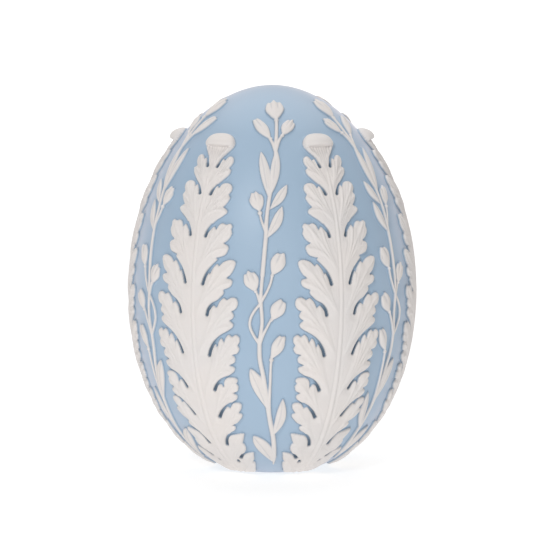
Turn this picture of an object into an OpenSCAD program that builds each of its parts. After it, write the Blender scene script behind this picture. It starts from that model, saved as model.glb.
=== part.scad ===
// Ceramic egg ornament in two colours: a hollow pale blue body that stands on
// a flat foot, with six acanthus leaves and six flower sprays in white clay.
// The white sprigs are moulded apart and luted on, so each is a piece of its own.
// Millimetres, +Z up, origin at the middle of the foot, front towards -Y.

/* [Body] */
// Height of the egg over its foot
egg_h = 150; // [100:1:200]
// Width of the blue body at its fullest girth
egg_w = 110; // [80:1:150]
// How much of the round lower end is cut away to make the flat foot
foot_cut = 3.7; // [2:0.1:6]
// How far the fullest girth sits below the middle of the egg
taper = 0.05; // [0:0.01:0.12]
// Wall of the hollow body
wall = 4.5; // [3:0.1:8]

/* [Foot] */
// Width of the ring that the egg stands on
foot_ring = 4.5; // [3:0.5:8]
// Depth of the hollow inside the ring
foot_hollow = 1.2; // [0.5:0.1:2]
// Bore of the vent that lets the air out in the kiln
vent_d = 6; // [3:0.5:10]

/* [Sprigs] */
// Thickness of the white leaves along their middle
leaf_lift = 1.4; // [0.8:0.1:2]
// Thickness of a leaf or a bud at its edge
edge_lift = 0.9; // [0.5:0.1:1.2]
// Height of the curled hood at the top of each leaf
hood_lift = 3.6; // [1.5:0.1:4.2]
// Thickness of the buds and blades on a spray
spray_lift = 1.2; // [0.8:0.1:2]
// Thickness of the stems on a spray
stem_lift = 0.8; // [0.5:0.1:1.2]
// Layer of slip that each sprig is bedded in
slip_gap = 0.15; // [0.12:0.01:0.3]
// Length of a leaf along the body, as drawn on the standard egg
leaf_len = 148; // [120:1:150]
// Greatest width of a leaf, as drawn on the standard egg
leaf_w = 36; // [28:0.5:37]
// How far the maker's hand strayed when placing the sprays: 0 for true spacing, 1 as made
hand = 1; // [0:0.1:1]

/* [Hidden] */
LEAVES = ["leaf_front_right", "leaf_right", "leaf_back_right",
          "leaf_back_left", "leaf_left", "leaf_front_left"];
SPRAYS = ["spray_front", "spray_front_right", "spray_back_right",
          "spray_back", "spray_back_left", "spray_front_left"];
// How each spray strays: degrees round the egg, and how far it bows sideways in millimetres
strays = [[2.2, 0], [0, -4.5], [-0.8, 0], [0.6, 0], [-0.6, 0], [0, 0]];

white = "#ece8e4";
blue = "#a9bfd6";
sector = 60;        // one leaf and one spray share this much of the girth
drawn_h = 190;      // the sprigs are drawn on a standard egg: its length foot to crown
drawn_w = 110;      // and its width
leaf_foot = 3.5;    // where the leaves start, up from the foot, on the standard egg
drawn_leaf = 148;   // length and width of the leaf as its outline below is drawn
drawn_leaf_w = 36;
bow_top = 150;      // a spray's bow starts at this height and ends at the foot
bow_low = 1.5;      // more than 1 makes the bow deepest below the middle

// ---- The egg's outline ----
// u runs from -1 at the lower pole to 1 at the crown. The outline is an ellipse
// whose width is multiplied by a smooth factor, which makes one end fuller.
both_ends = 0.026;  // fullness that both ends share
crown_end = -0.041; // fullness moved from the foot end to the crown end
function fullness(u) = exp(-taper * u + both_ends * u * u + crown_end * pow(u, 3));
function width_at(u) = sqrt(max(0, 1 - u * u)) * fullness(u);
pole_z = -foot_cut;
foot_u = 2 * foot_cut / (egg_h + foot_cut) - 1;
steps = 110;
u_steps = [for (i = [0 : steps]) let (a = acos(foot_u) * (1 - i / steps)) cos(a)];
girth_scale = egg_w / 2 / max([for (u = u_steps) width_at(u)]);
function outline(u) = [girth_scale * width_at(u), pole_z + (egg_h - pole_z) * (u + 1) / 2];
// The outward direction, square to the outline
nudge = 0.0004;     // half the step in u that the outline's slope is taken over
last_u = 0.9995;    // the slope is taken no nearer to the poles than this
function outward(u) = let (
    v = min(max(u, -last_u), last_u),
    d = outline(v + nudge) - outline(v - nudge)
) [d[1], -d[0]] / norm(d);

// Lengths along the outline from the foot up, each with its u
arc_table = [for (i = 0, length = 0; i <= steps;
    length = length + (i < steps ? norm(outline(u_steps[i + 1]) - outline(u_steps[i])) : 0),
    i = i + 1) [length, u_steps[i]]];
arc_scale = arc_table[steps][0] / drawn_h;

// A point on the egg: across and up in millimetres on the standard egg, and its height over
// the body in real millimetres
function on_egg(p, lift) = let (
    u = lookup(p[1] * arc_scale, arc_table),
    place = outline(u) + outward(u) * lift,
    turn = p[0] * (egg_w / drawn_w) / outline(u)[0] * 180 / PI
) [place[0] * sin(turn), -place[0] * cos(turn), place[1]];

// ---- From flat triangles to a closed sprig ----
// A leaf is a list of triangles [across, up, lift], counter-clockwise from outside, and the path
// round its edge. The upper skin follows the lifts. The lower one is scooped inside the edge, so
// that only the edge beds down on the body.
function top(p) = on_egg(p, slip_gap + p[2]);
function under(p) = on_egg(p, slip_gap + (p[2] > edge_lift ? scoop : 0));
function flat_area(t) = (t[1][0] - t[0][0]) * (t[2][1] - t[0][1]) - (t[1][1] - t[0][1]) * (t[2][0] - t[0][0]);
least_area = 0.001; // a triangle flatter than this is dropped
function skins(tris) = [for (t = tris) if (abs(flat_area(t)) > least_area)
    each [[top(t[0]), top(t[2]), top(t[1])], [under(t[0]), under(t[1]), under(t[2])]]];
function walls(path) = [for (i = [0 : len(path) - 2]) let (a = path[i], b = path[i + 1])
    each [[under(a), top(a), top(b)], [under(a), top(b), under(b)]]];
function flip(p) = [-p[0], p[1], p[2]];
function backwards(list) = [for (i = [len(list) - 1 : -1 : 0]) list[i]];
function mix(a, b, share) = a + (b - a) * share;

module closed(triangles) {
    points = [for (t = triangles) each t];
    polyhedron(points, [for (i = [0 : len(triangles) - 1]) [3 * i, 3 * i + 1, 3 * i + 2]]);
}

// ---- The acanthus leaf ----
// Right half, from the hood down. Each lobe has its hub, where its veins part, and its edge
// from the notch above it, over its teeth, to its last tooth. It ends in the next lobe's notch.
leaf_lobes = [
    [[2.4, 145.2], [[0, 151.5], [3.3, 150.9], [5.6, 149.2], [6.3, 147], [5, 144.4], [2.7, 140.4]]],
    [[3.6, 134], [[2.2, 136.7], [3.7, 140.2], [4.8, 139.5], [6.6, 141.2], [8, 139.6], [7.2, 136.6], [8.3, 135.2],
        [5.8, 131.4]]],
    [[4.6, 122], [[2.4, 125.6], [4.3, 129.2], [5.3, 128.4], [7.2, 130.3], [10, 129.8], [10.6, 127.7],
        [9.9, 125.9], [10.6, 124.4], [8.8, 121], [10.6, 119.2], [6, 115]]],
    [[6, 106], [[3.4, 109.5], [6, 113.4], [7.4, 112.4], [9, 114.7], [12.8, 114.6], [13.6, 112.6], [13.7, 110.6],
        [11.2, 107.3], [13.2, 105.6], [12.4, 103], [8.9, 101.6], [9.2, 100.8], [6.2, 97.6]]],
    [[7, 91.5], [[3.9, 91.6], [6.2, 96], [9, 99.2], [10.2, 98.9], [12.4, 100.6], [15.8, 100.9], [16.4, 98.8],
        [13.5, 94.4], [15.8, 92.8], [12.4, 89.7], [12.4, 88], [8.4, 84.6]]],
    [[8.4, 78], [[5.9, 80.1], [7.4, 82.6], [9.8, 83.4], [12.3, 86.9], [13.9, 86.4], [17, 87], [18, 84.8],
        [15.9, 81.9], [16.4, 79.8], [14.9, 78.4], [16.2, 76.2], [11, 72]]],
    [[8.4, 61.5], [[6, 64.6], [8.5, 69], [9.4, 68.2], [11.3, 71.4], [12.3, 70.3], [14, 72.9], [15.4, 72.3],
        [17.8, 72.4], [17.6, 69], [18, 67], [15.2, 65.2], [16, 63.2], [13.7, 61.1], [15.6, 59.4], [10, 55.2]]],
    [[8.4, 48], [[6.2, 50.6], [8.2, 53.2], [10.1, 52.6], [11.4, 55.6], [15.4, 56], [15.4, 53.8], [15.9, 52],
        [13.6, 49.8], [14.6, 47.8], [10, 44.2]]],
    [[7.4, 36], [[5.6, 38.8], [8.4, 42.4], [10.9, 43.6], [12.4, 45.4], [15.5, 45.2], [13.9, 41.4], [14.8, 39.8],
        [10, 35.4], [10.6, 33.6], [6.6, 30]]],
    [[6.4, 21.5], [[4, 24.5], [5.6, 28.6], [8.4, 30.5], [12.9, 31.2], [10.9, 26.2], [11.2, 24], [6.4, 16.8]]],
    [[5, 10], [[4.2, 13.6], [8.3, 18.9], [12.8, 20.6], [10.4, 14.6], [10.2, 12.8], [8.2, 7.8], [5.8, 3.7]]],
];
lobes = len(leaf_lobes);
leaf_end = [0, leaf_foot];
vein_rise = 1.4;    // a vein climbs this many millimetres for each one that it goes across
ridge = 0.15;       // the midrib stands this much over the leaf
scoop = 0.3;        // depth of the hollow in the leaf's back

// A drawn point brought to the leaf's own size
function sized(p) = [p[0] * leaf_w / drawn_leaf_w, leaf_foot + (p[1] - leaf_foot) * leaf_len / drawn_leaf];
function lifted(p, lift) = let (q = sized(p)) [q[0], q[1], lift];
function notch(k) = k < lobes ? leaf_lobes[k][1][0] : leaf_end;
function vein_foot(k) = let (n = notch(k)) [0, n[1] - vein_rise * n[0]];

function lobe_edge(k) = [for (p = concat(leaf_lobes[k][1], [notch(k + 1)])) lifted(p, edge_lift)];
function lobe_tris(k) = let (
    edge = lobe_edge(k),
    n = len(edge) - 1,
    hub = lifted(leaf_lobes[k][0], k == 0 ? hood_lift : leaf_lift),
    ring = [for (p = edge) mix(p, hub, 0.5)],
    rib = leaf_lift + ridge,
    above = lifted(vein_foot(k), k == 0 ? edge_lift : rib),
    below = lifted(vein_foot(k + 1), k == lobes - 1 ? edge_lift : rib),
    beside = k == 0 ? lifted([0, leaf_lobes[0][0][1]], hood_lift)
        : lifted(mix(vein_foot(k), vein_foot(k + 1), 0.5), rib)
) concat(
    [for (i = [0 : n - 1]) [hub, ring[i + 1], ring[i]]],
    [for (i = [0 : n - 1]) [ring[i], ring[i + 1], edge[i + 1]]],
    [for (i = [0 : n - 1]) [ring[i], edge[i + 1], edge[i]]],
    [[above, ring[0], edge[0]], [above, beside, ring[0]], [beside, hub, ring[0]]],
    [[beside, ring[n], hub], [beside, below, ring[n]], [below, edge[n], ring[n]]]
);

half_leaf = [for (k = [0 : lobes - 1]) each lobe_tris(k)];
half_edge = [for (k = [0 : lobes - 1]) each [for (p = leaf_lobes[k][1]) lifted(p, edge_lift)]];
leaf_skin = concat(half_leaf, [for (t = half_leaf) [flip(t[0]), flip(t[2]), flip(t[1])]]);
leaf_path = concat(
    [lifted(leaf_end, edge_lift)],
    backwards(half_edge),
    [for (i = [1 : len(half_edge) - 1]) flip(half_edge[i])],
    [lifted(leaf_end, edge_lift)]
);

module leaf(i) {
    color(white)
        rotate([0, 0, sector * (i + 0.5)])
            closed(concat(skins(leaf_skin), walls(leaf_path)));
}

// ---- The flower spray ----
// Stems: width at the start and at the end, and the stem's points
stems = [
    [1.4, 1.6, [[1.5, 160], [1.6, 152.5], [1.4, 144.5], [1.5, 140]]],
    [1.8, 2.1, [[0.3, 131], [-0.8, 124.5], [-1.7, 117], [-2, 110], [-2.6, 103], [-3.3, 95.5], [-3.9, 88.5],
        [-3.8, 83], [-3.7, 77.5], [-4.7, 71], [-4.5, 64], [-3.4, 57], [-2.5, 50], [-1.7, 43], [-0.8, 36],
        [0.2, 29.5], [0.4, 23.5], [0.4, 18], [0.2, 12.4]]],
    [1.3, 1.5, [[-1.8, 151.2], [0.2, 147.4], [1.4, 143.5]]],
    [1.2, 1.5, [[4.3, 151.8], [2.6, 148.4], [1.4, 143.5]]],
    [1, 1.2, [[-4.6, 120.6], [-3.8, 116.6], [-2, 111.5]]],
    [1.2, 1.3, [[0.8, 96.8], [-0.6, 92], [-2.6, 87.8], [-5.9, 82.8], [-8, 79], [-8, 75.6], [-4.7, 69.4]]],
    [1.1, 1.4, [[-6.2, 90.4], [-5, 87.6], [-3.8, 83.6]]],
    [1.1, 1.4, [[0.4, 79.9], [-1.5, 76.6], [-4.7, 69]]],
    [1.2, 1.4, [[0, 65.2], [-0.8, 58], [-1.2, 50], [-1.3, 43], [-0.9, 37]]],
];
// Blades: foot, tip and greatest width
blades = [
    [[0, 126], [1.8, 144.6], 3.4],
    [[-0.8, 124], [-3.9, 143.4], 3.4],
    [[-0.7, 120], [5.6, 129.8], 2.9],
    [[-1.7, 109.4], [4.1, 121.5], 3.1],
    [[-1.8, 42.5], [-8.8, 59.3], 4.3],
    [[0.1, 30.6], [3.7, 47.3], 3.4],
    [[0.3, 13.6], [-7.3, 30.6], 4.3],
];
// Buds: foot, tip and greatest width
buds = [
    [[1.4, 158.8], [0.3, 169.3], 7],
    [[-0.6, 149.4], [-6.7, 158.9], 4.6],
    [[4, 151.2], [7.4, 158.3], 5],
    [[-4.3, 119.6], [-6.5, 127], 5.4],
    [[0.4, 95.8], [4.2, 103.6], 5.6],
    [[-5.9, 89.6], [-8.8, 96.7], 5.8],
    [[0, 79], [4.2, 86], 5.4],
    [[-0.3, 64.2], [4.2, 72.6], 4.6],
];
bud_bed = 0.12;     // the buds and blades lie on their stems, this much over the stems' underside
stem_top = 0.7;     // a stem's upper face is this share of its width
spindle_edge = 0.8; // a bud's or a blade's edge is this share of edge_lift

// Half the width of a blade or a bud at a share of its length: the sine of the stretched
// length, raised to a power that leaves the ends sharp on a blade and round on a bud
blade_shape = [0.85, 0.9];  // the stretch and the power
bud_shape = [1.25, 0.6];
function half_width(share, shape) = 0.5 * pow(sin(180 * pow(share, shape[0])), shape[1]);
blade_rows = [for (share = [0.03, 0.27, 0.63, 0.97]) [share, half_width(share, blade_shape)]];
bud_rows = [for (share = [0.06, 0.42, 0.76, 0.98]) [share, half_width(share, bud_shape)]];

function square_to(d) = [-d[1], d[0]] / norm(d);

// The bow is a sine of the way down
function bowed(up, bow) = bow * sin(180 * pow(min(max(1 - up / bow_top, 0), 1), bow_low));

// A run of rings on the egg, each joined to the next. A ring is a list of [across, up, height].
// side is [1 or -1 for the mirror image, depth of the bow]
module chain(rings, side) {
    placed = [for (ring = rings) [for (p = ring) on_egg([p[0] * side[0] + bowed(p[1], side[1]), p[1]], p[2])]];
    for (i = [0 : len(rings) - 2])
        hull()
            polyhedron(concat(placed[i], placed[i + 1]), [[for (k = [0 : 2 * len(rings[0]) - 1]) k]]);
}

function at(p, height) = [p[0], p[1], height];

// A stem is narrower at its top than where it lies
module stem(points, w_start, w_end, side) {
    n = len(points) - 1;
    chain([for (i = [0 : n]) let (
        p = points[i],
        half = square_to(points[min(i + 1, n)] - points[max(i - 1, 0)]) * mix(w_start, w_end, i / n) / 2,
        h = slip_gap + stem_lift
    ) [at(p - half, slip_gap), at(p - half * stem_top, h), at(p + half * stem_top, h), at(p + half, slip_gap)]],
        side);
}

// A blade or a bud has rows across it, each with two edges and a raised middle
module spindle(foot, tip, width, rows, side) {
    bed = slip_gap + bud_bed;
    edge = bed + edge_lift * spindle_edge;
    chain([for (row = rows) let (p = mix(foot, tip, row[0]), half = square_to(tip - foot) * width * row[1])
        [at(p - half, bed), at(p - half, edge), at(p, slip_gap + spray_lift), at(p + half, edge), at(p + half, bed)]],
        side);
}

// Every second spray is the mirror image of the first
module spray(i) {
    side = [i % 2 == 0 ? 1 : -1, strays[i][1] * hand];
    color(white)
        rotate([0, 0, sector * i + strays[i][0] * hand])
            union() {
                for (s = stems) stem(s[2], s[0], s[1], side);
                for (b = blades) spindle(b[0], b[1], b[2], blade_rows, side);
                for (b = buds) spindle(b[0], b[1], b[2], bud_rows, side);
            }
}

// ---- The blue body ----
foot_r = outline(foot_u)[0];
hollow_r = foot_r - foot_ring;
floor_z = foot_hollow + wall;
corner_cut = 1;     // the floor inside starts this far in from the wall, which leaves a fillet
outer = [for (u = u_steps) outline(u)];
inner = [for (u = u_steps) let (p = outline(u) - outward(u) * wall) if (p[1] > floor_z && p[0] > 0) p];
module egg_body() {
    color(blue)
        rotate_extrude($fn = 200)
            polygon(concat(
                [[vent_d / 2, foot_hollow], [hollow_r - foot_hollow, foot_hollow], [hollow_r, 0]],
                outer,
                [[0, egg_h - wall]],
                backwards(inner),
                [[inner[0][0] - corner_cut, floor_z], [vent_d / 2, floor_z]]
            ));
}

egg_body();
for (i = [0 : 5]) {
    leaf(i);
    spray(i);
}
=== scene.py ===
import math

import bpy
import numpy as np
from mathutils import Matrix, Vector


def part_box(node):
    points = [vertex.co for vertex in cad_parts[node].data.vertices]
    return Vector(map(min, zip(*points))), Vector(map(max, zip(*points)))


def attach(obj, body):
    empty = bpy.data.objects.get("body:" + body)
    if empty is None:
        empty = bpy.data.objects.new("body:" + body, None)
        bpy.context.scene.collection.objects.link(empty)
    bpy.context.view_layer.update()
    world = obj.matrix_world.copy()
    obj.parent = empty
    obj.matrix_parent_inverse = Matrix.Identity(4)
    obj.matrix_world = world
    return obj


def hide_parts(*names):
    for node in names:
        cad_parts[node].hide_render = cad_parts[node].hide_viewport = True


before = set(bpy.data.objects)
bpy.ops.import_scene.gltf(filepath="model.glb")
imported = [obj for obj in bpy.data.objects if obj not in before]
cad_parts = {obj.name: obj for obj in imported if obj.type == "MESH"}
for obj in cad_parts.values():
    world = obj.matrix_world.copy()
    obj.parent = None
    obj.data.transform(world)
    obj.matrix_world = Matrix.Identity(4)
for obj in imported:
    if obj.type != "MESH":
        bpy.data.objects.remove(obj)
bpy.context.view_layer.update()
print("frame loaded with", len(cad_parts), "nodes")

mm = 0.001
scene = bpy.context.scene


# the egg's outline is shared by the body and everything that lies on it
eggLow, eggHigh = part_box("egg_body")
eggOutline = {
    "height": (eggHigh.z - eggLow.z) / mm,
    "width": max(eggHigh.x - eggLow.x, eggHigh.y - eggLow.y) / mm,
    "footCut": 3.7,         # ground off the lower pole to make the foot, mm
    "taper": 0.05,          # how far the fullest girth sits below the middle
    "shoulder": 0.026,      # fullness shared by both ends
    "lean": -0.041,         # fullness moved from the lower end to the crown
    "drawnLength": 190.0,   # the sprigs are drawn on an egg this long from foot to crown
    "drawnWidth": 110.0,    # and this wide
}


# half width before scaling: an ellipse times e to a cubic in u; u goes from -1 at the lower pole, which the
# foot cuts off, to 1 at the crown
def plainHalfWidth(u):
    fullness = -eggOutline["taper"] * u + eggOutline["shoulder"] * u**2 + eggOutline["lean"] * u**3
    return np.sqrt(np.clip(1 - u * u, 0, None)) * np.exp(fullness)


footU = 2 * eggOutline["footCut"] / (eggOutline["height"] + eggOutline["footCut"]) - 1
arcU = np.cos(np.linspace(math.acos(footU), 0, 3001))
girth = eggOutline["width"] / 2 / plainHalfWidth(arcU).max()


def outlineAt(u):
    z = (eggOutline["height"] + eggOutline["footCut"]) * (u + 1) / 2 - eggOutline["footCut"]
    return girth * plainHalfWidth(u), z


# the outward direction is the tangent of the outline turned a quarter
def outwardAt(u):
    v = np.clip(u, -0.9995, 0.9995)
    r0, z0 = outlineAt(v - 0.0004)
    r1, z1 = outlineAt(v + 0.0004)
    size = np.hypot(r1 - r0, z1 - z0)
    return (z1 - z0) / size, (r0 - r1) / size


arcR, arcZ = outlineAt(arcU)
arcLength = np.concatenate([[0], np.cumsum(np.hypot(np.diff(arcR), np.diff(arcZ)))])
arcScale = arcLength[-1] / eggOutline["drawnLength"]


# a drawn point goes up along the outline, round by its width over the local radius, and out by its lift
def onEgg(across, up, lift, turn):
    u = np.interp(up * arcScale, arcLength, arcU)
    r, z = outlineAt(u)
    outR, outZ = outwardAt(u)
    around = turn + across * eggOutline["width"] / eggOutline["drawnWidth"] / r
    reach = r + outR * lift
    return np.stack([reach * np.sin(around), -reach * np.cos(around), z + outZ * lift], -1) * mm


def newPiece(name, points, quads, triangles=None):
    mesh = bpy.data.meshes.new(name)
    faces = [np.asarray(quads, np.int64).reshape(-1, 4)]
    counts = [np.full(len(faces[0]), 4)]
    if triangles is not None and len(triangles):
        faces.append(np.asarray(triangles, np.int64).reshape(-1, 3))
        counts.append(np.full(len(faces[1]), 3))
    corners = np.concatenate([f.ravel() for f in faces])
    sizes = np.concatenate(counts)
    mesh.vertices.add(len(points))
    mesh.vertices.foreach_set("co", np.asarray(points, np.float32).ravel())
    mesh.loops.add(len(corners))
    mesh.loops.foreach_set("vertex_index", corners.astype(np.int32))
    mesh.polygons.add(len(sizes))
    mesh.polygons.foreach_set("loop_start", np.concatenate([[0], np.cumsum(sizes)[:-1]]).astype(np.int32))
    mesh.polygons.foreach_set("loop_total", sizes.astype(np.int32))
    mesh.polygons.foreach_set("use_smooth", np.ones(len(sizes), bool))
    mesh.update(calc_edges=True)
    mesh.validate()
    piece = bpy.data.objects.new(name, mesh)
    scene.collection.objects.link(piece)
    return piece


# a sheet of square cells: the front at its lifts, a flat back inside the body, a wall round every open
# edge, and the masks of painted shade that its material reads at each point
def reliefPiece(name, across, up, lift, depth, paintedShadeMasks, turn, backLift):
    most = np.maximum(depth[:, 1:], depth[:, :-1])
    keep = np.maximum(most[1:], most[:-1]) > -paintedShadeFilm["reach"]
    for _ in range(4):      # cells that meet only at a corner get a third cell beside them
        rising = keep[:-1, :-1] & keep[1:, 1:] & ~keep[:-1, 1:] & ~keep[1:, :-1]
        falling = keep[:-1, 1:] & keep[1:, :-1] & ~keep[:-1, :-1] & ~keep[1:, 1:]
        keep[:-1, 1:] |= rising
        keep[:-1, :-1] |= falling
    rows, columns = across.shape
    number = np.arange(rows * columns).reshape(rows, columns)
    a, b, c, d = number[:-1, :-1], number[:-1, 1:], number[1:, 1:], number[1:, :-1]
    front = np.stack([a, b, c, d], -1)[keep]
    back = front[:, ::-1] + rows * columns
    padded = np.pad(keep, 1)
    walls = []
    for low, high, beside in ((b, c, padded[1:-1, 2:]), (d, a, padded[1:-1, :-2]),
                              (a, b, padded[:-2, 1:-1]), (c, d, padded[2:, 1:-1])):
        edge = keep & ~beside
        top, foot = high[edge], low[edge]
        walls.append(np.stack([top, foot, foot + rows * columns, top + rows * columns], -1))
    quads = np.concatenate([front, back] + walls)
    points = np.concatenate([onEgg(across, up, lift, turn).reshape(-1, 3),
                             onEgg(across, up, np.full_like(lift, backLift), turn).reshape(-1, 3)])
    used, quads = np.unique(quads, return_inverse=True)
    piece = newPiece(name, points[used], quads.reshape(-1, 4))
    for kind, front in {"lift": lift, **paintedShadeMasks}.items():
        values = np.concatenate([front.ravel(), np.zeros(lift.size)])[used]
        layer = piece.data.attributes.new(kind, "FLOAT", "POINT")
        layer.data.foreach_set("value", values.astype(np.float32))
    return piece


# round each sprig a thin film, coloured as the blue body, lies on the body and carries a painted shade line
# along the sprig's edge; past it the sheet dips under the body's surface
paintedShadeFilm = {
    "film": 0.03,           # lift of the film, mm
    "wide": 0.7,            # how far it shows beyond the sprig
    "reach": 0.75,          # how far the sheet goes on beyond the sprig
    "sunk": -0.4,
}


def withShadeFilm(lift, depth):
    beyond = np.where(depth > -paintedShadeFilm["wide"], paintedShadeFilm["film"], paintedShadeFilm["sunk"])
    return np.where(depth > 0, np.maximum(lift, paintedShadeFilm["film"]), beyond)


# a smooth run through its points: cubic pieces whose slope at a point is half the step between its
# neighbours
def smoothRun(points, steps=8):
    p = np.asarray(points, float)
    if len(p) == 2:
        return p
    ends = np.vstack([2 * p[0] - p[1], p, 2 * p[-1] - p[-2]])
    q = np.linspace(0, 1, steps, endpoint=False)[None, :, None]
    p0, p1, p2, p3 = (ends[i:len(ends) - 3 + i, None] for i in range(4))
    bend = 2 * p0 - 5 * p1 + 4 * p2 - p3
    twist = 3 * p1 - p0 - 3 * p2 + p3
    curve = 0.5 * (2 * p1 + (p2 - p0) * q + bend * q**2 + twist * q**3)
    return np.vstack([curve.reshape(-1, 2), p[-1:]])


# distance from each drawn point to a run, how far along the run the nearest place is, from 0 to 1,
# and on which side of it the point lies: 1 to the left of the run, -1 to the right
def nearRun(run, across, up):
    run = np.asarray(run, float)
    step = np.diff(run, axis=0)
    length = np.hypot(step[:, 0], step[:, 1])
    start = np.concatenate([[0], np.cumsum(length)])
    best = np.full(across.shape, 1e9)
    along = np.zeros(across.shape)
    side = np.zeros(across.shape)
    for (x, y), (dx, dy), size, begin in zip(run[:-1], step, length, start[:-1]):
        share = np.clip(((across - x) * dx + (up - y) * dy) / size**2, 0, 1)
        gap = np.hypot(across - x - share * dx, up - y - share * dy)
        closer = gap < best
        best = np.where(closer, gap, best)
        along = np.where(closer, begin + share * size, along)
        side = np.where(closer, np.sign(dx * (up - y) - dy * (across - x)), side)
    return best, along / start[-1], side


# true where a drawn point is inside a closed outline: a line to the right of it crosses the outline
# an odd number of times
def insideOutline(outline, across, up):
    inside = np.zeros(across.shape, bool)
    for (x0, y0), (x1, y1) in zip(outline, np.roll(outline, -1, axis=0)):
        if y0 == y1:
            continue
        crosses = (y0 > up) != (y1 > up)
        inside ^= crosses & (across < (x1 - x0) * (up - y0) / (y1 - y0) + x0)
    return inside


# 0 at the edge, rising as a quarter circle to 1 at the given depth inside it
def quarterRound(depth, size):
    q = np.clip(depth / size, 0, 1)
    return np.sqrt(1 - (1 - q)**2)


def smoothStep(value, low, high):
    q = np.clip((value - low) / (high - low), 0, 1)
    return q * q * (3 - 2 * q)


bodyMake = {
    "wall": 4.5,
    "footRing": 4.5,
    "footHollow": 1.2,
    "ventRadius": 3.0,
    "around": 256,
    "rows": 170,
}


# the closed profile from the inner crown down the hollow, out by the vent, over the foot and up the outside
def bodyProfile():
    wall = bodyMake["wall"]
    u = np.cos(np.linspace(0, math.acos(footU), 60))
    r, z = outlineAt(u)
    outR, outZ = outwardAt(u)
    innerR, innerZ = r - outR * wall, z - outZ * wall
    floorZ = bodyMake["footHollow"] + wall
    inner = np.stack([innerR, innerZ], -1)[(innerZ > floorZ) & (innerR > 0.5)]
    footR = outlineAt(np.array([footU]))[0][0]
    hollowR = footR - bodyMake["footRing"]
    vent = bodyMake["ventRadius"]
    ease = 0.4
    under = np.array([
        [inner[-1, 0] - 2, floorZ], [vent + ease, floorZ], [vent, floorZ - ease],
        [vent, bodyMake["footHollow"] + ease], [vent + ease, bodyMake["footHollow"]],
        [hollowR - 1.6, bodyMake["footHollow"]], [hollowR - 0.9, bodyMake["footHollow"] * 0.7],
        [hollowR - 0.3, 0.15], [hollowR + 0.3, 0], [footR - 1.2, 0], [footR - 0.4, 0.02], [footR + 0.1, 0.2],
    ])
    outerU = np.cos(np.linspace(math.acos(footU), 0, bodyMake["rows"]))[1:-1]
    outer = np.stack(outlineAt(outerU), -1)
    return np.vstack([inner, under, outer])


def makeBody():
    profile = bodyProfile()
    count = bodyMake["around"]
    angle = np.linspace(0, 2 * math.pi, count, endpoint=False)
    r, z = profile[:, :1], profile[:, 1:]
    ring = np.stack([r * np.sin(angle), -r * np.cos(angle), z + 0 * angle], -1) * mm
    rows = len(profile)
    innerCrown = [[0, 0, (eggOutline["height"] - bodyMake["wall"]) * mm]]
    crown = [[0, 0, eggOutline["height"] * mm]]
    points = np.vstack([ring.reshape(-1, 3), innerCrown, crown])
    number = np.arange(rows * count).reshape(rows, count)
    beside = np.roll(number, -1, axis=1)
    quads = np.stack([number[:-1], beside[:-1], beside[1:], number[1:]], -1).reshape(-1, 4)
    first = np.stack([np.full(count, rows * count), beside[0], number[0]], -1)
    last = np.stack([np.full(count, rows * count + 1), number[-1], beside[-1]], -1)
    body = newPiece("blueBody", points, quads, np.vstack([first, last]))
    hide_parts("egg_body")
    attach(body, "root")
    return body


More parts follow.
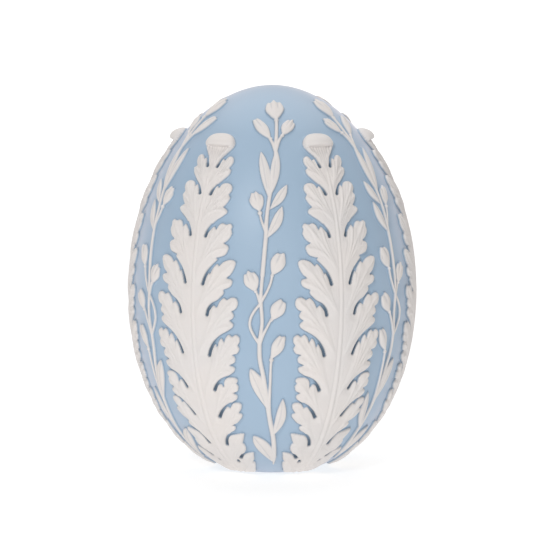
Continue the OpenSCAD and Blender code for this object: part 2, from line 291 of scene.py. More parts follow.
# right half of a leaf, from the hood down: for each lobe its hub, where its veins part,
# then its edge from the notch above it over its teeth
leafMake = {
    "lobes": [
        [(2.4, 146.5), [(0, 151.5), (2.2, 151.1), (4.2, 150), (5.6, 148.3), (6.3, 146.5), (6, 144.9),
                        (4.7, 142.8), (3, 140.4), (2.3, 138.4)]],
        [(3.6, 134), [(2.2, 136.7), (3, 138.8), (3.8, 140.2), (4.7, 139.5), (5.6, 141), (6.8, 141.4),
                      (8, 140.2), (8.1, 138.2), (7.3, 136.5), (8.3, 135.5), (7.9, 133.6), (6, 131.3),
                      (4.4, 129.6), (3.2, 127.6)]],
        [(4.6, 122), [(2.4, 125.6), (3.4, 127.8), (4.4, 129.3), (5.3, 128.3), (6.3, 130), (8.4, 130.5),
                      (10.2, 129.5), (10.7, 127.6), (9.9, 125.9), (10.7, 124.5), (10, 122.6), (8.8, 121),
                      (10.3, 120), (10.7, 118.8), (9.4, 117.5), (6.6, 115.4), (4.6, 112.8)]],
        [(6, 106), [(3.4, 109.5), (4.8, 111.8), (6.4, 113.5), (7.4, 112.3), (8.4, 114.3), (9.8, 114.9),
                    (11, 114.4), (12.6, 114.8), (13.6, 113.8), (13.5, 112.5), (13.9, 110.8), (12.9, 108.6),
                    (11.2, 107.3), (12.8, 106.5), (13.3, 105.2), (12.4, 103), (10.6, 102.1), (8.9, 101.7),
                    (9.3, 100.9), (7.4, 98.9), (5.6, 96.4), (4.6, 93.8)]],
        [(7, 91.5), [(3.9, 91.6), (5, 94), (6.2, 96.1), (6.6, 95.6), (7.6, 97.7), (9.2, 99.5), (10.2, 98.8),
                     (11.8, 100.4), (14.2, 101.2), (16.3, 100.7), (16.5, 98.8), (15.3, 96), (13.5, 94.3),
                     (15.2, 93.9), (15.9, 92.8), (15, 91), (12.4, 89.8), (12.6, 88.6), (11.2, 86.7),
                     (8.6, 84.9), (6.9, 82.9)]],
        [(8.4, 78), [(5.9, 80.1), (6.9, 82), (8.6, 84), (9.8, 83.2), (10.9, 85.4), (12.4, 86.9), (13.9, 86.3),
                     (15.8, 87.2), (17.6, 86.7), (18.2, 84.8), (17.4, 82.8), (15.9, 81.9), (16.6, 80.5),
                     (16.2, 79.2), (14.9, 78.4), (16.2, 77.3), (16, 75.8), (13.8, 74.2), (11.2, 72.6),
                     (8.8, 70.4), (7, 67.4)]],
        [(8.4, 61.5), [(6, 64.6), (7.2, 66.8), (8.7, 69.3), (9.4, 68.1), (10.2, 70.4), (11.4, 71.6),
                       (12.3, 70.2), (13.2, 72.3), (14.4, 73.1), (15.5, 72.3), (17, 73.1), (18.4, 72.1),
                       (18.4, 70.2), (17.6, 69), (18.2, 67.6), (17.2, 65.8), (15.2, 65.2), (16.2, 64.2),
                       (15.9, 62.3), (13.7, 61.1), (15.6, 60.3), (15.2, 58.6), (13, 57), (10.2, 55.8),
                       (7.8, 53.4)]],
        [(8.4, 48), [(6.2, 50.6), (7.6, 52.6), (9.2, 53.4), (10.1, 52.1), (10.6, 54.6), (12, 56),
                     (14.2, 56.4), (15.9, 55.8), (16, 54.6), (15.4, 53.8), (16, 52.7), (15.4, 50.7),
                     (13.6, 49.8), (14.9, 48.8), (14.4, 47.2), (12.4, 45.8), (9.8, 44.2), (7.2, 41.4)]],
        [(7.4, 36), [(5.6, 38.8), (7.4, 41), (9.6, 43.7), (10.9, 43.3), (12.2, 45.2), (14, 45.8),
                     (15.6, 45.3), (15.4, 43.3), (13.9, 41.2), (15, 40.6), (14.5, 39), (12.2, 36.6),
                     (10, 35.3), (10.8, 34.4), (10, 32.8), (8, 31.4), (6, 28.8)]],
        [(6.4, 21.5), [(4, 24.5), (5.2, 27.2), (6.8, 29.6), (9.4, 30.7), (13, 31.4), (12.2, 28.8),
                       (10.9, 26.2), (11.4, 25), (10.8, 22.4), (9, 19.8), (7.4, 18)]],
        [(5, 10), [(6.2, 16.4), (8, 18.6), (10, 20), (12.9, 20.8), (12.4, 18.6), (11.4, 16), (10.3, 14.6),
                   (10.6, 13.4), (9.6, 10.6), (8.2, 7.8), (6, 4.2)]],
    ],
    "foot": 3.7,            # where the leaf starts, mm up from the foot of the egg
    # the slits between lobes, each from its round inner end outwards
    "slits": [
        [(2.2, 136.8), (2.8, 138.6), (3.6, 140.4)],
        [(2.4, 125.7), (3.1, 127.6), (4.4, 129.6)],
        [(3.4, 109.6), (4.1, 112), (5.4, 114.2)],
        [(3.9, 91.7), (4.7, 94.2), (6, 96.8), (7.8, 98.9), (9.4, 100.4)],
        [(5.9, 80.2), (6.5, 82.4), (8, 84.3), (10.3, 85.7), (12, 87.4)],
        [(6, 64.7), (6.9, 67.2), (8.6, 70), (10.9, 72.2), (13.6, 73.9)],
        [(6.2, 50.7), (7.5, 53), (9.4, 55), (12, 56.4)],
        [(5.6, 38.9), (7.2, 41.5), (9.4, 43.9), (11.6, 45.4)],
        [(4, 24.7), (5, 27.7), (6.5, 30), (8.4, 31.2)],
        [(6.4, 16.8), (8, 18.9), (10, 20.4)],
        [(4.2, 13.9), (4.5, 15.2)],
    ],
    "slitInner": 1.0,       # width of a slit at its round end, and where it opens
    "slitOuter": 0.45,
    "cell": 0.3,            # mesh step, mm
    "thick": 1.5,           # lift of the leaf inside its lobes
    "edgeThick": 1.05,
    "edgeRound": 0.5,
    "pillow": 3.0,          # distance from the edge over which a lobe rises
    "veinHigh": 0.38,
    "veinWide": 0.45,
    "creaseDeep": 0.6,
    "creaseWide": 0.38,
    "striaHigh": 0.11,
    "striaStep": 0.075,     # angle from one furrow to the next, radians
    "fold": 0.28,           # a lobe stands this much higher over a slit than the lobe under it
    "veinClimb": 1.9,       # the veins leave the midrib this many times the hub's width lower down
    "ribHigh": 0.24,
    "ribWide": 0.44,
    "fluteHigh": 0.14,
    "rimHigh": 0.9,         # how far the throat's rims stand over its hollow at the hood
    "hoodHigh": 4.2,
    "hoodRound": 2.4,       # the lip's nose rounds over this length, mm
    "overhang": 0.8,        # how far the hood's lip hangs over the throat, mm
    "hoodLip": 145.3,       # height of the hood's lip at the middle
    "hoodSmile": -0.012,    # how the lip climbs to both sides, per mm across squared; under 0 it falls
    "hoodTop": 151.6,       # where the hood ends on the crown side
    "hoodBase": 0.8,        # its lift there
    "hoodHalf": 6.3,        # half its width
    "hoodSides": 0.62,      # the share of its height that it loses at its sides
    "hoodRoundEdge": 0.8,   # radius of its edge
    "throatLow": 131,       # the throat's flutes fade in between these heights
    "throatHigh": 137,
    "back": -0.7,
}
sharpTurn = math.radians(38)


# the lobes' edge as one path; it is smooth except where it turns inwards sharply
def leafEdge():
    points = np.array([p for hub, edge in leafMake["lobes"] for p in edge] + [(0, leafMake["foot"])])
    steps = np.diff(points, axis=0)
    heading = np.arctan2(steps[:, 1], steps[:, 0])
    turned = (np.diff(heading) + math.pi) % (2 * math.pi) - math.pi
    sharp = [0] + [i + 1 for i in range(len(turned)) if turned[i] > sharpTurn] + [len(points) - 1]
    runs = [smoothRun(points[a:b + 1]) for a, b in zip(sharp[:-1], sharp[1:])]
    return np.vstack([runs[0]] + [run[1:] for run in runs[1:]]), points[sharp[1:-1]]


# a vein is a parabola from low on the midrib, pulled towards the lobe's hub, to its end
def veinRun(hub, end, climb):
    q = np.linspace(0, 1, 15)[:, None]
    start = np.array([0.5, hub[1] - climb * hub[0]])
    return (1 - q)**2 * start + 2 * q * (1 - q) * np.array(hub) + q**2 * np.array(end)


# ridges or creases along veins: a bell curve of the distance, kept only where it is the highest
def veinField(runs, across, up, high, wide, fadeIn, fadeOut):
    field = np.zeros(across.shape)
    for run in runs:
        low, top = run[:, 1].min() - 2, run[:, 1].max() + 2
        rows = (up[:, 0] > low) & (up[:, 0] < top)
        gap, along, _ = nearRun(run, across[rows], up[rows])
        bell = high * np.exp(-(gap / wide)**2) * smoothStep(along, 0, fadeIn)
        bell = bell * (1 - smoothStep(along, fadeOut, 1.0))
        field[rows] = np.maximum(field[rows], bell)
    return field


# fine furrows that fan out from each lobe's foot on the midrib; they fade where two lobes meet
def striae(across, up):
    nearest = np.full(across.shape, 1e9)
    second = np.full(across.shape, 1e9)
    wave = np.zeros(across.shape)
    for hub, edge in leafMake["lobes"][1:]:
        lobe = np.array(edge)
        foot = np.array([0.2, hub[1] - leafMake["veinClimb"] * hub[0] - 4])
        far = lobe[np.hypot(*(lobe - foot).T).argmax()]
        gap, _, _ = nearRun([foot, hub, far], across, up)
        angle = np.arctan2(across - foot[0], np.clip(up - foot[1], 0.5, None))
        angle = angle + 0.012 * np.sin(up / 1.9 + hub[1]) + 0.015 * np.sin(angle * 23 + hub[0])
        closer = gap < nearest
        second = np.where(closer, nearest, np.minimum(second, gap))
        wave = np.where(closer, np.cos(2 * math.pi * angle / leafMake["striaStep"]), wave)
        nearest = np.where(closer, gap, nearest)
    return wave * smoothStep(second - nearest, 0, 1.2)


def leafField():
    cell = leafMake["cell"]
    acrossLine = np.arange(0, 20, cell)
    upLine = np.arange(leafMake["foot"] - 1, 153, cell)
    across, up = np.meshgrid(acrossLine, upLine)
    edge, notches = leafEdge()
    closed = np.vstack([edge, [(-3, edge[-1, 1]), (-3, edge[0, 1])]])
    gap, _, _ = nearRun(edge, across, up)
    depth = np.where(insideOutline(closed, across, up), gap, -gap)
    fold = np.zeros(across.shape)
    paintedSlitShade = np.zeros(across.shape)
    for slit in leafMake["slits"]:
        gap, along, side = nearRun(smoothRun(slit), across, up)
        half = (leafMake["slitInner"] + (leafMake["slitOuter"] - leafMake["slitInner"]) * along) / 2
        depth = np.minimum(depth, gap - half)
        # painted shade at the inner end of each slit, fading outwards along it and away from it
        paintedSlitShade = np.maximum(paintedSlitShade, (1 - smoothStep(along, 0.1, 0.8)) * (1 - smoothStep(gap, half, half + 0.3)))
        fold += side * smoothStep(along, 0, 0.3) * np.exp(-(gap / 1.7)**2)

    tips, creases = [], []
    for hub, lobeEdge in leafMake["lobes"][1:]:
        lobe = np.array(lobeEdge)
        reach = np.hypot(*(lobe - hub).T)
        for i in range(1, len(lobe) - 2):
            climb = leafMake["veinClimb"]
            if reach[i] > reach[i - 1] and reach[i] > reach[i + 1] and reach[i] > 3:
                tips.append(veinRun(hub, lobe[i] * 0.94 + np.array(hub) * 0.06, climb))
            if reach[i] < reach[i - 1] and reach[i] < reach[i + 1]:
                creases.append(veinRun(hub, lobe[i], climb))
    ridge = veinField(tips, across, up, leafMake["veinHigh"], leafMake["veinWide"], 0.35, 0.97)
    crease = veinField(creases, across, up, leafMake["creaseDeep"], leafMake["creaseWide"], 0.45, 2.0)
    print("leaf drawn with", len(tips), "veins and", len(creases), "creases a side")

    swell = leafMake["thick"] - leafMake["edgeThick"]
    lift = leafMake["edgeThick"] + swell * smoothStep(depth, 0, leafMake["pillow"])
    fade = smoothStep(depth, 0, 0.8)
    stria = striae(across, up) * smoothStep(depth, 0.4, 1.2) * smoothStep(across, 0.9, 1.8)
    stria *= 0.35 + 0.65 * smoothStep(up, 95, 122)
    lift += leafMake["striaHigh"] * stria
    strength = 0.7 + 0.5 * smoothStep(up, 95, 125)
    lift += (ridge - crease) * strength * fade + leafMake["fold"] / 2 * fold * fade

    # midrib: a bell ridge between two shallow grooves, wider towards the foot
    ribWide = leafMake["ribWide"] * (1.35 - 0.75 * up / 150)
    ribFade = 1 - smoothStep(up, 128, 142)
    lift += leafMake["ribHigh"] * np.exp(-(across / ribWide)**2) * ribFade
    lift -= 0.16 * np.exp(-((across - 2.3 * ribWide) / (0.7 * ribWide))**2) * ribFade

    # throat: raised rims at both sides and fanned flutes in the hollow between them
    lip = leafMake["hoodLip"] + leafMake["hoodSmile"] * across**2
    belowLip = 1 - smoothStep(up, lip - 0.3, lip)
    fan = across / np.clip(up - 125, 3, None)
    flute = leafMake["fluteHigh"] * np.cos(fan * 2 * math.pi / 0.056) * smoothStep(depth, 0.5, 1.1)
    rim = leafMake["rimHigh"] * smoothStep(up, 137, 145) * np.exp(-((depth - 0.9) / 0.75)**2)
    inThroat = smoothStep(up, leafMake["throatLow"], leafMake["throatHigh"])
    lift += (flute * inThroat + rim - 0.35 * smoothStep(up, 139, 144)) * belowLip
    # how deep in a furrow each point lies, from 0 to 1, for the painted shade in the furrows
    paintedFurrowShade = 0.9 * crease * strength / leafMake["creaseDeep"] + 0.25 * np.clip(-stria, 0, 1)
    paintedFurrowShade += np.clip(-flute / leafMake["fluteHigh"], 0, 1) * inThroat * belowLip * 0.5
    # hood: it climbs steadily from the crown side to its lip and drops steeply there, less so at its sides
    rise = np.clip((up - lip) / (leafMake["hoodTop"] - lip), 0, 1)
    outwards = np.clip(across / leafMake["hoodHalf"], 0, 1)
    nose = 0.45 + 0.55 * quarterRound(up - lip, leafMake["hoodRound"])
    hood = (leafMake["hoodHigh"] - leafMake["hoodBase"]) * nose * (1 - rise**2)
    hood = leafMake["hoodBase"] + hood * (1 - leafMake["hoodSides"] * outwards**2)
    isHood = smoothStep(up, lip - 0.15, lip + 0.3) * smoothStep(up, 142.6, 143.4)
    lift = lift + (hood - lift) * isHood
    # the higher a point near the lip stands, the further it hangs down over the throat
    drop = -leafMake["overhang"] * smoothStep(lift, 1.6, 3.4)
    drop = drop * (1 - smoothStep(up, lip + 0.3, lip + 3)) * (depth > 0)
    roundness = np.where(isHood > 0.5, leafMake["hoodRoundEdge"], leafMake["edgeRound"])
    lift = withShadeFilm(lift * quarterRound(depth, roundness), depth)
    paintedFurrowShade = np.clip(paintedFurrowShade * fade * (1 - isHood), 0, 1)
    return across, up + drop, lift, depth, np.where(depth > 0, 2 - paintedFurrowShade, depth), paintedSlitShade


def leafPiece(node, field, turn, seed):
    across, *others = field
    across = np.hstack([-across[:, :0:-1], across])
    up, lift, depth, inward, slit = (np.hstack([values[:, :0:-1], values]) for values in others)
    # a pressed sprig is never quite straight: slow waves move it a little sideways and along
    rng = np.random.default_rng(seed)
    sway, stretch, wave = rng.uniform(-1, 1, 3)
    moved = across * (1 + 0.012 * stretch) + 0.35 * sway * np.sin(up / 31 + 2 * wave)
    climbed = up + 0.25 * wave * np.sin(across / 7 + sway)
    uneven = 0.04 * np.sin(across / 2.3 + 5 * sway) * np.sin(up / 3.1 + 4 * wave)
    lift = lift + uneven * smoothStep(depth, 0.3, 1.5)
    # inward carries the painted shade round the sprig and in its furrows, slit the painted shade at the inner
    # ends of slits
    paintedShadeMasks = {"inward": inward, "slit": slit}
    piece = reliefPiece(node + "Sprig", moved, climbed, lift, depth, paintedShadeMasks, turn, leafMake["back"])
    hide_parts(node)
    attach(piece, "root")
    return piece


sprayMake = {
    # stems: width at the start and at the end, then the points
    "stems": [
        (1.5, 1.6, [(1.5, 160), (1.6, 152.5), (1.4, 144.5), (1.5, 139)]),
        (1.5, 1.9, [(0.6, 134), (0.1, 129), (-0.8, 124.5), (-1.7, 117), (-2, 110), (-2.6, 103),
                    (-3.3, 95.5)]),
        (1.5, 1.6, [(-3.3, 95.5), (-3.9, 88.5), (-3.8, 83), (-3.6, 77.5), (-4.6, 71)]),
        (1.8, 2.1, [(-4.6, 71.5), (-4.6, 64), (-3.4, 57), (-2.5, 50), (-1.7, 43), (-0.8, 36), (0.1, 29.5),
                    (0.4, 23.5), (0.4, 18)]),
        (2.1, 0.7, [(0.4, 18.5), (0.4, 15.5), (0.2, 12.6)]),
        (1.2, 1.5, [(-1.2, 150.2), (0.2, 147.4), (1.4, 143.5)]),
        (1.1, 1.5, [(4.1, 151.6), (2.6, 148.4), (1.4, 143.5)]),
        (0.9, 1.2, [(-4.4, 120.4), (-3.8, 116.6), (-2, 111.5)]),
        (1.1, 1.3, [(0.6, 96.6), (-0.4, 92.4), (-2.2, 88.4), (-4.2, 85), (-6.4, 82.2), (-7.9, 79.2),
                    (-8.1, 76.2), (-6.8, 73), (-4.7, 69.6)]),
        (1.0, 1.4, [(-6, 90.2), (-5, 87.6), (-3.8, 83.6)]),
        (1.0, 1.4, [(0.2, 79.8), (-1.5, 76.6), (-3.3, 72.9), (-4.7, 69)]),
        (1.1, 1.4, [(-0.2, 65), (-0.6, 60), (-0.9, 53), (-1.2, 46), (-1.1, 37)]),
    ],
    # blades: foot, tip, greatest width, how far the middle bows to the left, the stretch that moves the
    # widest place (below 1 towards the foot, over 1 towards the tip), and the power (lower is blunter)
    "blades": [
        ((0, 126), (1.8, 144.9), 3.8, -0.4, 1.05, 0.75),
        ((-0.8, 124), (-4.1, 143.8), 4.0, -0.2, 1.2, 0.7),
        ((-0.7, 120), (5.9, 130), 3.7, -0.5, 1.15, 0.8),
        ((-1.7, 109.2), (4.1, 121.6), 4.0, -0.7, 1.15, 0.8),
        ((-1.8, 42.2), (-8.2, 60), 5.2, -0.5, 1.45, 0.7),
        ((0.1, 30.4), (3.9, 47.6), 4.1, -0.9, 1.1, 0.75),
        ((0.3, 13.4), (-7.3, 30.2), 5.6, -0.9, 1.45, 0.65),
    ],
    # buds: foot, tip, greatest width, how many points the tip has, and where the points stand
    "buds": [
        ((1.4, 158.6), (0.3, 169.5), 7.2, 3, 0.0),
        ((-0.5, 149.2), (-6.8, 159.2), 4.7, 2, 0.5),
        ((4, 151), (7.4, 158.4), 5.1, 3, 0.2),
        ((-4.2, 119.4), (-6.5, 127.1), 5.6, 3, 0.4),
        ((0.4, 95.6), (4.2, 103.9), 5.8, 2, 0.3),
        ((-5.8, 89.4), (-8.8, 96.9), 6.0, 3, 0.1),
        ((0, 78.8), (4.3, 86.3), 5.6, 2, 0.6),
        ((-0.3, 63.9), (4.3, 72.9), 4.8, 2, 0.4),
    ],
    # beads where a bud meets its stalk: place and radius
    "beads": [((-4.2, 118.9), 0.95), ((-0.3, 63.5), 0.95), ((3.8, 150.8), 0.85), ((-0.5, 149.3), 0.8),
              ((1.5, 158.4), 1.0), ((0.3, 95.4), 0.75), ((-5.8, 89.5), 0.75), ((-0.1, 78.9), 0.75)],
    "cell": 0.25,
    "stemHigh": 1.0,
    "bladeHigh": 1.3,
    "bladeEdge": 0.85,
    "budHigh": 1.45,
    "budEdge": 0.95,
    "beadHigh": 1.3,
    "stemSwell": 1.06,      # the stems are laid this much wider than they are drawn
    "bladeGroove": 0.25,    # depth of a blade's crease, mm
    "petalHigh": 0.12,
    "back": -0.7,
    "bowTop": 150.0,        # a spray's bow starts at this height and ends at the foot
    "bowLow": 1.5,          # more than 1 makes the bow deepest below the middle
}


# depth inside a spindle: half its width at that share of its length, less the distance from its middle line,
# eased by the slope of the side; half the width is a sine of the stretched length raised to a power
def spindleDepth(foot, tip, width, bow, stretch, power, across, up, scallop=0, shift=0):
    foot, tip = np.array(foot), np.array(tip)
    length = np.hypot(*(tip - foot))
    ahead = (tip - foot) / length
    along = ((across - foot[0]) * ahead[0] + (up - foot[1]) * ahead[1]) / length
    aside = -(across - foot[0]) * ahead[1] + (up - foot[1]) * ahead[0]
    if scallop:
        along = along / (1 + 0.045 * np.cos(2 * math.pi * (scallop / 2 * aside / (width / 2) + shift)))
    share = np.clip(along, 1e-4, 1 - 1e-4)
    aside = aside - bow * np.sin(math.pi * share)
    half = width / 2 * np.sin(math.pi * share**stretch)**power
    beyond = width / 2 * np.sin(math.pi * np.clip(share + 0.004, 0, 1)**stretch)**power
    slope = np.clip(np.abs(beyond - half) / (0.004 * length), 0, 6)
    depth = (half - np.abs(aside)) / np.sqrt(1 + slope**2)
    past = np.maximum(-along, along - 1) * length
    return np.where(past > 0, np.minimum(depth, -past), depth), along, aside


def sprayField():
    cell = sprayMake["cell"]
    across, up = np.meshgrid(np.arange(-13, 11, cell), np.arange(10.5, 172, cell))
    lift = np.zeros(across.shape)
    near = np.full(across.shape, -9.0)
    paintedFurrowShade = np.zeros(across.shape)

    # cut is the share of painted shade in the shape's crease
    def add(depth, shaped, cut=0):
        nonlocal lift, near, paintedFurrowShade
        paintedFurrowShade = np.where((depth > 0) & (shaped > lift), cut, paintedFurrowShade)
        lift = np.maximum(lift, np.where(depth > 0, shaped, 0))
        near = np.maximum(near, depth)

    for start, end, points in sprayMake["stems"]:
        gap, along, _ = nearRun(smoothRun(points), across, up)
        half = sprayMake["stemSwell"] * (start + (end - start) * along) / 2
        depth = half - gap
        add(depth, sprayMake["stemHigh"] * quarterRound(depth, half))

    # a blade is domed, with a fine crease along its middle
    for foot, tip, width, bow, stretch, power in sprayMake["blades"]:
        depth, along, aside = spindleDepth(foot, tip, width, bow, stretch, power, across, up)
        dome = smoothStep(depth, 0, width / 2)
        high = sprayMake["bladeEdge"] + (sprayMake["bladeHigh"] - sprayMake["bladeEdge"]) * dome
        groove = np.exp(-((aside - 0.25) / 0.3)**2)
        groove = groove * smoothStep(along, 0.1, 0.3) * smoothStep(depth, 0.2, 0.9)
        add(depth, (high - sprayMake["bladeGroove"] * groove) * quarterRound(depth, 0.5), 0.7 * groove)

    # a bud is domed higher, with creases between its petals that fade towards its foot
    for foot, tip, width, points, shift in sprayMake["buds"]:
        depth, along, aside = spindleDepth(foot, tip, width, 0, 1.25, 0.6, across, up, points, shift)
        dome = smoothStep(depth, 0, width / 2)
        high = sprayMake["budEdge"] + (sprayMake["budHigh"] - sprayMake["budEdge"]) * dome
        petal = np.cos(2 * math.pi * (points / 2 * aside / (width / 2) + shift))
        petal = petal * smoothStep(along, 0.25, 0.7) * smoothStep(depth, 0.1, 0.7)
        cut = 0.8 * np.clip(-petal, 0, 1)**2
        add(depth, (high + sprayMake["petalHigh"] * petal) * quarterRound(depth, 0.6), cut)

    for (x, y), radius in sprayMake["beads"]:
        depth = radius - np.hypot(across - x, up - y)
        add(depth, sprayMake["beadHigh"] * quarterRound(depth, radius))
    return across, up, withShadeFilm(lift, near), near, np.where(near > 0, 2 - paintedFurrowShade, near)


# the bow is a sine of the way down
def bowed(up, bow):
    return bow * np.sin(math.pi * np.clip(1 - up / sprayMake["bowTop"], 0, 1)**sprayMake["bowLow"])


def sprayPiece(node, field, turn, side, bow, seed):
    across, up, lift, depth, inward = field
    if side < 0:
        across = -across[:, ::-1]
        up, lift, depth, inward = (values[:, ::-1] for values in (up, lift, depth, inward))
    rng = np.random.default_rng(seed)
    sway, stretch, wave = rng.uniform(-1, 1, 3)
    moved = across + bowed(up, bow) + 0.4 * sway * np.sin(up / 27 + 2 * wave)
    climbed = up + 0.2 * wave * np.sin(across / 5 + stretch)
    # inward carries the painted shade round the sprig and in its creases
    piece = reliefPiece(node + "Sprig", moved, climbed, lift, depth, {"inward": inward}, turn,
                        sprayMake["back"])
    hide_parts(node)
    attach(piece, "root")
    return piece


# the azimuth of a sprig is that of its highest point in the frame, less the drawn offset of that point
def turnOf(node, drawnAcross=0.0, drawnUp=150.0):
    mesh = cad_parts[node].data
    co = np.empty(len(mesh.vertices) * 3, np.float32)
    mesh.vertices.foreach_get("co", co)
    top = co.reshape(-1, 3)[co.reshape(-1, 3)[:, 2].argmax()]
    r, _ = outlineAt(np.interp(drawnUp * arcScale, arcLength, arcU))
    return math.atan2(top[0], -top[1]) - drawnAcross / r


leafNodes = ["leaf_front_right", "leaf_right", "leaf_back_right",
             "leaf_back_left", "leaf_left", "leaf_front_left"]
sprayNodes = ["spray_front", "spray_front_right", "spray_back_right", "spray_back", "spray_back_left",
              "spray_front_left"]
sprayBows = {"spray_front_right": -4.5}     # the hand let this one bow to the left, mm

# a socket that takes part in sums and products, so shader maths reads as an expression
class Wire:
    def __init__(self, tree, socket):
        self.tree = tree
        self.socket = socket

    def sum(self, operation, *values):
        return self.tree.add("ShaderNodeMath", {"operation": operation}, dict(enumerate(values)))

    def __add__(self, other):
        return self.sum("ADD", self, other)

    __radd__ = __add__

    def __rsub__(self, other):
        return self.sum("SUBTRACT", other, self)

    def __mul__(self, other):
        return self.sum("MULTIPLY", self, other)

    __rmul__ = __mul__


class Tree:
    def __init__(self, name):
        self.material = bpy.data.materials.new(name)
        self.material.use_nodes = True
        self.tree = self.material.node_tree
        self.shader = self.tree.nodes["Principled BSDF"]

    # one node of any type: its settings first, then its sockets by name or number; gives back one output
    def add(self, kind, settings=None, sockets=None, output=0):
        node = self.tree.nodes.new(kind)
        for key, value in (settings or {}).items():
            setattr(node, key, value)
        for key, value in (sockets or {}).items():
            self.put(node.inputs[key], value)
        return Wire(self, node.outputs[output])

    def put(self, socket, value):
        if isinstance(value, Wire):
            self.tree.links.new(value.socket, socket)
        else:
            socket.default_value = value

    def mixColour(self, share, first, second):
        return self.add("ShaderNodeMix", {"data_type": "RGBA"}, {0: share, 6: first, 7: second}, output=2)

    # 0 to 1 as a value goes from low to high, eased at both ends
    def spread(self, value, low, high):
        return self.add("ShaderNodeMapRange", {"interpolation_type": "SMOOTHSTEP"},
                        {"Value": value, "From Min": low, "From Max": high})

    def fill(self, shader, **sockets):
        for key, value in sockets.items():
            self.put(shader.inputs[key.replace("_", " ")], value)


def noise(tree, place, scale, detail=2.0, roughness=0.5):
    return tree.add("ShaderNodeTexNoise", {}, {"Vector": place, "Scale": scale, "Detail": detail,
                                              "Roughness": roughness}, output=0)


clayColours = {
    "blue": (0.350, 0.475, 0.610, 1),
    "bluePale": (0.375, 0.495, 0.625, 1),
    "white": (0.785, 0.728, 0.692, 1),
    "whiteCool": (0.735, 0.712, 0.705, 1),
    # blue-grey low on the sprig's wall: partly the blue showing through the thin white clay, partly painted
    # shade at the foot of the wall
    "thinEdgeAndFootShade": (0.430, 0.480, 0.550, 1),
    # colour of the painted shade in the furrows, creases and flutes
    "paintedFurrowShade": (0.420, 0.430, 0.470, 1),
    "paintedFurrowShadeStrength": 0.45,    # how strong the painted shade in the furrows of the white clay is, from 0 to 1
    # colour of the painted shade line round each sprig, where the sprig meets the body
    "paintedShadeFilm": (0.090, 0.190, 0.320, 1),
    "paintedEdgeShadeStrength": 0.32,      # how strong the painted shade line round a sprig is, from 0 to 1
    # colour of the painted shade at the inner ends of slits
    "slit": (0.020, 0.050, 0.085, 1),
    "paintedSlitShadeStrength": 0.75,      # how strong the painted shade at the inner ends of the leaf's slits is, from 0 to 1
    "slitOnWhite": 0.8,     # the share of that painted shade which the white clay beside a slit takes
}


# blue stained clay: a slow cloud of paler blue, a fine grain in the bump, and a dusty sheen at grazing
# angles; shade from 0 to 1 takes it towards the painted shade line round a sprig, and slit towards the
# painted shade at the inner end of a slit
def blueShader(tree, shader, shade=None, slit=None):
    place = tree.add("ShaderNodeTexCoord", output=3)
    cloud = noise(tree, place, 38, 3)
    grain = noise(tree, place, 1500, 2)
    colour = tree.mixColour(cloud, clayColours["blue"], clayColours["bluePale"])
    if shade is not None:
        # painted shade: the dark line round a sprig, and the dark inner ends of slits
        colour = tree.mixColour(shade, colour, clayColours["paintedShadeFilm"])
        colour = tree.mixColour(slit, colour, clayColours["slit"])
    bump = tree.add("ShaderNodeBump", {}, {"Strength": 0.12, "Distance": 0.00008, "Height": grain})
    tree.fill(shader, Base_Color=colour, Roughness=0.38 + 0.1 * grain, Normal=bump, Sheen_Weight=0.48,
              Sheen_Roughness=0.4, Sheen_Tint=(1.0, 0.8, 0.78, 1), Specular_IOR_Level=0.42)


def blueClay():
    tree = Tree("blueClay")
    blueShader(tree, tree.shader)
    return tree.material


# white clay: a faint warm and cool cloud and a fine grain; the film beyond the sprig's edge is blue, with a
# painted shade line
# that is darkest against the sprig: the share of white rises with lift, and the painted shade with nearness
# to the edge; low on its wall the white turns blue-grey, partly thin clay over blue, partly painted shade;
# the furrows and the inner ends of slits get painted shade too; inward is 2 on the sprig, less the depth in a
# furrow there, and minus the distance beyond the sprig's edge
def whiteClay(name, seed):
    tree = Tree(name)
    place = tree.add("ShaderNodeTexCoord", output=3)
    moved = tree.add("ShaderNodeMapping", {}, {"Vector": place, "Location": (0.01 * seed, 0, 0.02 * seed)})
    cloud = noise(tree, moved, 55, 3)
    grain = noise(tree, moved, 1700, 2)
    lift = tree.add("ShaderNodeAttribute", {"attribute_name": "lift"}, output=2)
    inward = tree.add("ShaderNodeAttribute", {"attribute_name": "inward"}, output=2)
    isWhite = tree.spread(lift, 0.2, 0.5)
    # painted shade: the dark line against the sprig's edge
    shade = tree.spread(inward, -0.32, 0.0) * clayColours["paintedEdgeShadeStrength"]
    # painted shade at the inner ends of slits
    slit = tree.add("ShaderNodeAttribute", {"attribute_name": "slit"}, output=2) * clayColours["paintedSlitShadeStrength"]
    clay = tree.mixColour(cloud, clayColours["white"], clayColours["whiteCool"])
    # painted shade in the furrows
    paintedFurrowShade = (1 - tree.spread(inward, 1.0, 2.0)) * clayColours["paintedFurrowShadeStrength"]
    clay = tree.mixColour(paintedFurrowShade, clay, clayColours["paintedFurrowShade"])
    # low on the wall the white turns blue-grey: thin clay over blue, and painted shade at the wall's foot
    colour = tree.mixColour(tree.spread(lift, 0.3, 0.95), clayColours["thinEdgeAndFootShade"], clay)
    # painted shade on the white clay beside a slit
    colour = tree.mixColour(slit * clayColours["slitOnWhite"], colour, clayColours["slit"])
    bump = tree.add("ShaderNodeBump", {}, {"Strength": 0.15, "Distance": 0.00008, "Height": grain})
    tree.fill(tree.shader, Base_Color=colour, Roughness=0.66 + 0.14 * grain, Normal=bump,
              Specular_IOR_Level=0.3)
    film = tree.tree.nodes.new("ShaderNodeBsdfPrincipled")
    blueShader(tree, film, shade, slit)
    both = tree.add("ShaderNodeMixShader", {}, {0: isWhite, 1: Wire(tree, film.outputs[0]),
                                              2: Wire(tree, tree.shader.outputs[0])})
    tree.put(tree.tree.nodes["Material Output"].inputs["Surface"], both)
    return tree.material


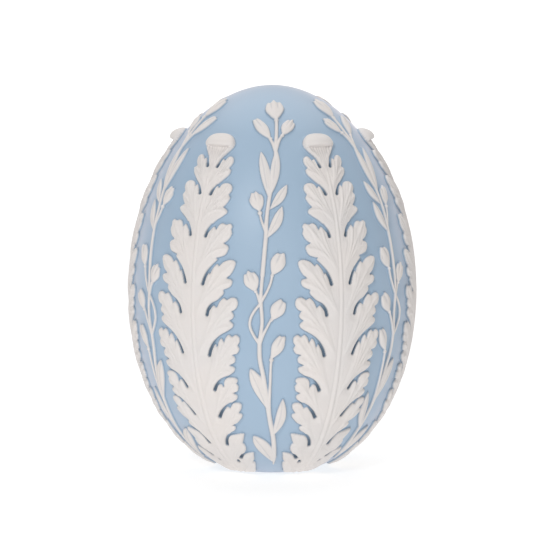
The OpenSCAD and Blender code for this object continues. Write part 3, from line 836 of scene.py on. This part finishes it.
def floorPaper():
    tree = Tree("floorPaper")
    tree.fill(tree.shader, Base_Color=(0.36, 0.36, 0.36, 1), Roughness=0.9, Specular_IOR_Level=0.1,
              Emission_Color=(1, 1, 1, 1), Emission_Strength=0.74)
    return tree.material


body = makeBody()
body.data.materials.append(blueClay())
print("blue body made")

whiteLeaf = whiteClay("whiteClayLeaf", 1)
whiteSpray = whiteClay("whiteClaySpray", 2)

drawnLeaf = leafField()
for i, node in enumerate(leafNodes):
    turn = turnOf(node)
    piece = leafPiece(node, drawnLeaf, turn, 11 + i)
    piece.data.materials.append(whiteLeaf)
    print(node, "at", round(math.degrees(turn), 2), "degrees,", 2 * len(piece.data.polygons), "triangles")
print("six acanthus leaves laid on")

drawnSpray = sprayField()
for i, node in enumerate(sprayNodes):
    side = 1 if i % 2 == 0 else -1
    turn = turnOf(node, 0.32 * side, 169.1)
    piece = sprayPiece(node, drawnSpray, turn, side, sprayBows.get(node, 0), 31 + i)
    piece.data.materials.append(whiteSpray)
    print(node, "at", round(math.degrees(turn), 2), "degrees,", 2 * len(piece.data.polygons), "triangles")
print("six flower sprays laid on")


stage = {
    "reach": 9.0,           # how far the floor runs to the sides and to the front, m
    "wallPlace": 3.0,       # how far behind the egg the wall stands
    "wallHalf": 3.0,        # half the wall's width
    "bend": 0.9,            # radius of the sweep behind
    "wallHeight": 2.5,
}


# a floor that sweeps up into a wall behind: straight, a quarter circle, straight
def makeStage():
    back = stage["wallPlace"] - stage["bend"]
    quarter = np.linspace(0, math.pi / 2, 24)
    y = np.concatenate([[-stage["reach"]], back + stage["bend"] * np.sin(quarter), [stage["wallPlace"]]])
    z = np.concatenate([[0], stage["bend"] * (1 - np.cos(quarter)), [stage["wallHeight"]]])
    narrowing = np.concatenate([[0], quarter / quarter[-1], [1]])
    half = stage["reach"] + (stage["wallHalf"] - stage["reach"]) * narrowing
    x = np.stack([-half, half], -1)
    points = np.stack([x, np.repeat(y[:, None], 2, 1), np.repeat(z[:, None], 2, 1)], -1)
    number = np.arange(len(y) * 2).reshape(-1, 2)
    quads = np.stack([number[:-1, 0], number[:-1, 1], number[1:, 1], number[1:, 0]], -1)
    floor = newPiece("floorSweep", points.reshape(-1, 3), quads)
    floor.data.materials.append(floorPaper())


makeStage()


def addLight(name, place, target, size, power):
    lamp = bpy.data.lights.new(name, "AREA")
    lamp.shape = "RECTANGLE"
    lamp.size, lamp.size_y = size
    lamp.energy = power
    holder = bpy.data.objects.new(name, lamp)
    holder.location = place
    aim(holder, target)
    scene.collection.objects.link(holder)


def aim(thing, target):
    away = [a - b for a, b in zip(thing.location, target)]
    level = math.hypot(away[0], away[1])
    thing.rotation_euler = (math.atan2(level, away[2]), 0, math.atan2(away[0], -away[1]))


middle = (0, 0, eggOutline["height"] * mm / 2)
addLight("keyLight", (-0.4, -1.33, 1.0), middle, (0.32, 0.32), 10.2)
addLight("fillLight", (0.4, -1.55, 0.4), middle, (0.7, 0.7), 2.8)
addLight("topLight", (0.0, 0.42, 1.3), middle, (1.6, 1.2), 11.2)
addLight("backdropLight", (0, 1.3, 1.5), (0, 3, 0.6), (2.5, 0.5), 30)

world = bpy.data.worlds.new("softRoom")
world.use_nodes = True
world.node_tree.nodes["Background"].inputs[0].default_value = (1, 1, 1, 1)
world.node_tree.nodes["Background"].inputs[1].default_value = 0.2
scene.world = world
scene.view_settings.view_transform = "Standard"

view = {
    "distance": 1.092,      # m from the egg's middle
    "raised": 7.02,         # degrees above level
    "round": 2.2,           # degrees to the right of the front
    "lens": 187.6,
    "aimAside": -0.0022,    # m, the camera looks this far beside and above the egg's middle
    "aimUp": 0.0037,
}
raised, swung = math.radians(view["raised"]), math.radians(view["round"])
sideways = np.array([math.cos(swung), math.sin(swung), 0])
away = np.array([math.sin(swung) * math.cos(raised), -math.cos(swung) * math.cos(raised), math.sin(raised)])
lens = bpy.data.cameras.new("studioCamera")
lens.lens = view["lens"]
lens.sensor_width = 36
lens.clip_start = 0.05
lens.clip_end = 20
camera = bpy.data.objects.new("studioCamera", lens)
camera.location = np.array(middle) + away * view["distance"]
aim(camera, np.array(middle) + sideways * view["aimAside"] + np.array([0, 0, view["aimUp"]]))
scene.collection.objects.link(camera)
scene.camera = camera
print("floor, lights and camera set")
